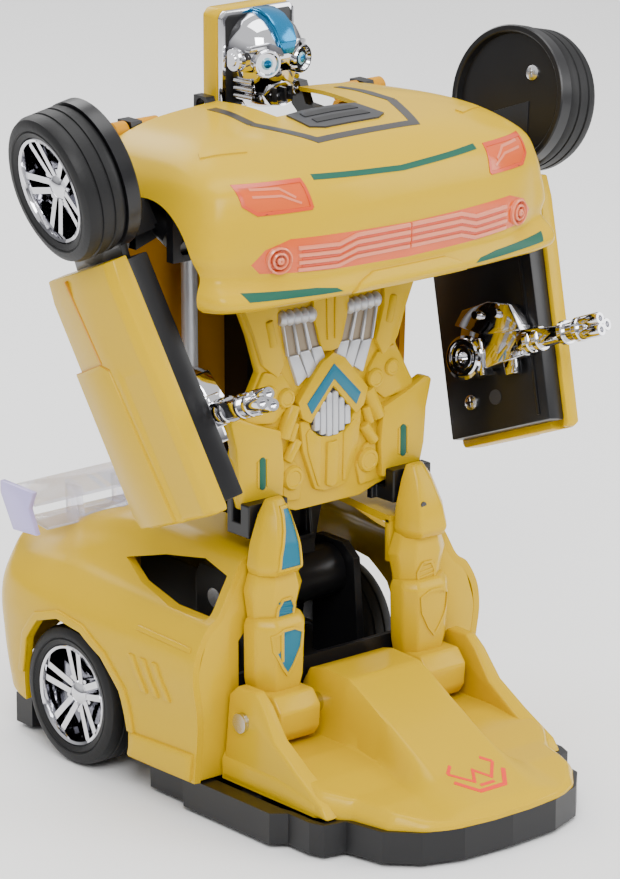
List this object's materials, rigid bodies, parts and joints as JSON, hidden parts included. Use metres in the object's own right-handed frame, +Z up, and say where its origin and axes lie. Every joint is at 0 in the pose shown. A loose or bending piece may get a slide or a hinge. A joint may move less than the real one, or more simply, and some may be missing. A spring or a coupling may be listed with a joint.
{
  "type": "transforming robot car toy",
  "caption": "Standing toy robot that folds down into a car: chest and arms lower on a mast, legs tuck under, head and roof turn with them.",
  "frame": {"origin": "floor level, under the middle of the standing toy's overall width and depth", "axes": "+X is the robot's own left, -Y is where its chest and the car's nose point, +Z is up"},
  "size_m": [0.1456, 0.135, 0.1694],
  "materials": {
    "yellow_gloss": "bright glossy yellow moulding",
    "black_plastic": "semi-matt black moulding",
    "chrome_trim": "vacuum-plated bright chrome",
    "amber_lens": "translucent orange-red lens",
    "clear_spoiler": "clear faintly violet moulding",
    "tyre_black": "solid black tyre",
    "steel_pin": "plain steel",
    "vent_grey": "dark grey moulding",
    "silver_paint": "silver finish",
    "cell_wrap": "plain green cell sleeve",
    "board_green": "circuit board",
    "blue_lens": "translucent blue eye",
    "motor_can": "motor can"
  },
  "bodies": {
    "base": {"base_tray": "black_plastic", "base_screws": "steel_pin", "battery_cover": "black_plastic", "battery_cells": "cell_wrap", "battery_contacts": "steel_pin", "foot_shell": "yellow_gloss", "ankle_pins": "steel_pin", "rear_body_shell": "yellow_gloss", "spoiler": "clear_spoiler", "inner_frame": "black_plastic", "lift_axle": "steel_pin", "lift_gearbox": "black_plastic", "lift_motor": "motor_can", "circuit_board": "board_green", "speaker": "black_plastic", "drive_motor": "motor_can"},
    "turntable": {"drive_turntable": "black_plastic"},
    "drive_wheels": {"drive_wheels": "tyre_black"},
    "switch": {"power_switch": "black_plastic"},
    "rear_wheels": {"rear_axle": "steel_pin", "rear_tyre_left": "tyre_black", "rear_tyre_right": "tyre_black", "rear_rim_left": "chrome_trim", "rear_rim_right": "chrome_trim"},
    "legs": {"shin_left": "yellow_gloss", "shin_right": "yellow_gloss", "knee_cap_left": "yellow_gloss", "knee_cap_right": "yellow_gloss", "torso_front": "yellow_gloss", "torso_back": "black_plastic"},
    "mast": {"mast": "black_plastic", "lift_rod_left": "silver_paint", "lift_rod_right": "silver_paint"},
    "chest": {"chest_shell": "yellow_gloss", "chest_frame": "black_plastic", "grille_lens": "amber_lens", "hood_vent": "vent_grey", "chest_leds": "board_green", "headlight_left": "amber_lens", "headlight_right": "amber_lens"},
    "head": {"head_box": "yellow_gloss", "head_face": "chrome_trim", "eye_lenses": "blue_lens"},
    "roof": {"roof_panel": "yellow_gloss"},
    "shoulder_left": {"shoulder_left": "black_plastic"},
    "arm_left": {"arm_shell_left": "yellow_gloss", "arm_plate_left": "black_plastic", "arm_screws_left": "steel_pin", "front_tyre_left": "tyre_black", "front_rim_left": "chrome_trim"},
    "gun_left": {"gun_left": "chrome_trim"},
    "shoulder_right": {"shoulder_right": "black_plastic"},
    "arm_right": {"arm_shell_right": "yellow_gloss", "arm_plate_right": "black_plastic", "arm_screws_right": "steel_pin", "front_tyre_right": "tyre_black", "front_rim_right": "chrome_trim"},
    "gun_right": {"gun_right": "chrome_trim"}
  },
  "joints": [
    {"name": "lift", "type": "hinge", "parent": "base", "child": "mast", "pos_m": [0, 0.0115, 0.04], "axis": [1, 0, 0], "range_deg": [0, 90]},
    {"name": "leg_fold", "type": "hinge", "parent": "base", "child": "legs", "pos_m": [0, -0.0165, 0.022], "axis": [1, 0, 0], "range_deg": [0, 90]},
    {"name": "chest_level", "type": "hinge", "parent": "mast", "child": "chest", "pos_m": [0, 0.0115, 0.134], "axis": [1, 0, 0], "range_deg": [-90, 0]},
    {"name": "head_fold", "type": "hinge", "parent": "chest", "child": "head", "pos_m": [0, 0.0195, 0.149], "axis": [1, 0, 0], "range_deg": [0, 90]},
    {"name": "roof_fold", "type": "hinge", "parent": "chest", "child": "roof", "pos_m": [0, 0.0205, 0.146], "axis": [1, 0, 0], "range_deg": [0, 99]},
    {"name": "arm_spread_left", "type": "hinge", "parent": "chest", "child": "shoulder_left", "pos_m": [0.04, -0.001, 0.1306], "axis": [0, -0.9, -0.436], "range_deg": [-4, 10]},
    {"name": "arm_swing_left", "type": "hinge", "parent": "shoulder_left", "child": "arm_left", "pos_m": [0.0573, 0.0069, 0.1292], "axis": [0.9692, 0.1072, -0.2215], "range_deg": [0, 112.5]},
    {"name": "gun_tilt_left", "type": "hinge", "parent": "arm_left", "child": "gun_left", "pos_m": [0.04541, -0.01148, 0.09528], "axis": [0.9692, 0.1072, -0.2215], "range_deg": [-60, 0]},
    {"name": "arm_spread_right", "type": "hinge", "parent": "chest", "child": "shoulder_right", "pos_m": [-0.04, -0.001, 0.1306], "axis": [0, 0.9, 0.436], "range_deg": [-4, 10]},
    {"name": "arm_swing_right", "type": "hinge", "parent": "shoulder_right", "child": "arm_right", "pos_m": [-0.0573, 0.0069, 0.1292], "axis": [0.9692, -0.1072, 0.2215], "range_deg": [0, 112.5]},
    {"name": "gun_tilt_right", "type": "hinge", "parent": "arm_right", "child": "gun_right", "pos_m": [-0.04541, -0.01148, 0.09528], "axis": [0.9692, -0.1072, 0.2215], "range_deg": [-60, 0]},
    {"name": "rear_axle_spin", "type": "hinge", "parent": "base", "child": "rear_wheels", "pos_m": [0, 0.0341, 0.0162], "axis": [1, 0, 0], "continuous": true},
    {"name": "drive_swivel", "type": "hinge", "parent": "base", "child": "turntable", "pos_m": [0, -0.0455, 0.002], "axis": [0, 0, 1], "continuous": true},
    {"name": "drive_spin", "type": "hinge", "parent": "turntable", "child": "drive_wheels", "pos_m": [0, -0.0455, 0.006], "axis": [1, 0, 0], "continuous": true},
    {"name": "power_slide", "type": "slide", "parent": "base", "child": "switch", "axis": [1, 0, 0], "range_m": [0, 0.003]}
  ],
  "couplings": [
    {"joint": "leg_fold", "follows": "lift", "ratio": 1},
    {"joint": "chest_level", "follows": "lift", "ratio": -1},
    {"joint": "head_fold", "follows": "lift", "ratio": 1},
    {"joint": "roof_fold", "follows": "lift", "ratio": 1.1},
    {"joint": "arm_swing_left", "follows": "lift", "ratio": 1.249},
    {"joint": "arm_swing_right", "follows": "lift", "ratio": 1.249}
  ]
}
